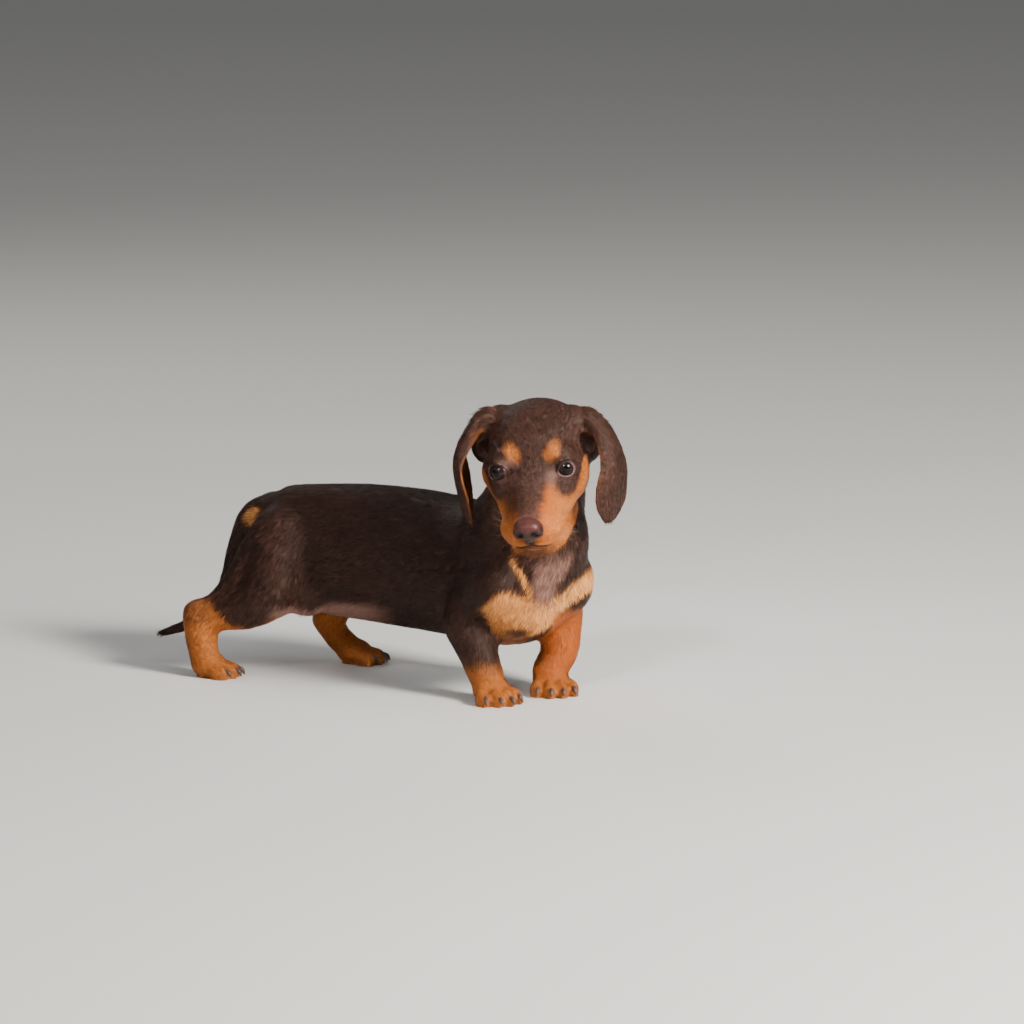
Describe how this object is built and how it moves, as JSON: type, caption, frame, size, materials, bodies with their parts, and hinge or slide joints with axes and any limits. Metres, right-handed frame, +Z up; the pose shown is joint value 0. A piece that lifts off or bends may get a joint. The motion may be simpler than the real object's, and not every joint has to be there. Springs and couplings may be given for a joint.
{
  "type": "dachshund puppy",
  "caption": "Standing smooth-coated dachshund puppy, life size, head turned to its right, as a still museum-type model.",
  "frame": {"origin": "middle of the bounding box in plan, on the plane of the soles", "axes": "+X along the body towards the chest, +Y to the dog's left, +Z up"},
  "size_m": [0.3598, 0.1488, 0.2071],
  "materials": {
    "torso": "short smooth coat, dark chocolate",
    "neck": "short smooth coat, dark chocolate",
    "head": "short smooth coat, dark chocolate",
    "nose": "moist pebbled nose leather, liver brown",
    "eye_left": "wet, glossy dark brown eye",
    "eye_right": "wet, glossy dark brown eye",
    "ear_left": "short smooth coat, dark chocolate",
    "ear_right": "short smooth coat, dark chocolate",
    "tail": "short smooth coat, dark chocolate",
    "foreleg_left": "short smooth coat, dark chocolate",
    "foreleg_right": "short smooth coat, dark chocolate",
    "forepaw_left": "short smooth coat, tan",
    "forepaw_right": "short smooth coat, tan",
    "thigh_left": "short smooth coat, dark chocolate",
    "thigh_right": "short smooth coat, dark chocolate",
    "shank_left": "short smooth coat, tan",
    "shank_right": "short smooth coat, tan",
    "hindpaw_left": "short smooth coat, tan",
    "hindpaw_right": "short smooth coat, tan"
  },
  "bodies": {
    "root": {"torso": "torso", "neck": "neck", "head": "head", "nose": "nose", "eye_left": "eye_left", "eye_right": "eye_right", "ear_left": "ear_left", "ear_right": "ear_right", "tail": "tail", "foreleg_left": "foreleg_left", "foreleg_right": "foreleg_right", "forepaw_left": "forepaw_left", "forepaw_right": "forepaw_right", "thigh_left": "thigh_left", "thigh_right": "thigh_right", "shank_left": "shank_left", "shank_right": "shank_right", "hindpaw_left": "hindpaw_left", "hindpaw_right": "hindpaw_right"}
  },
  "joints": []
}
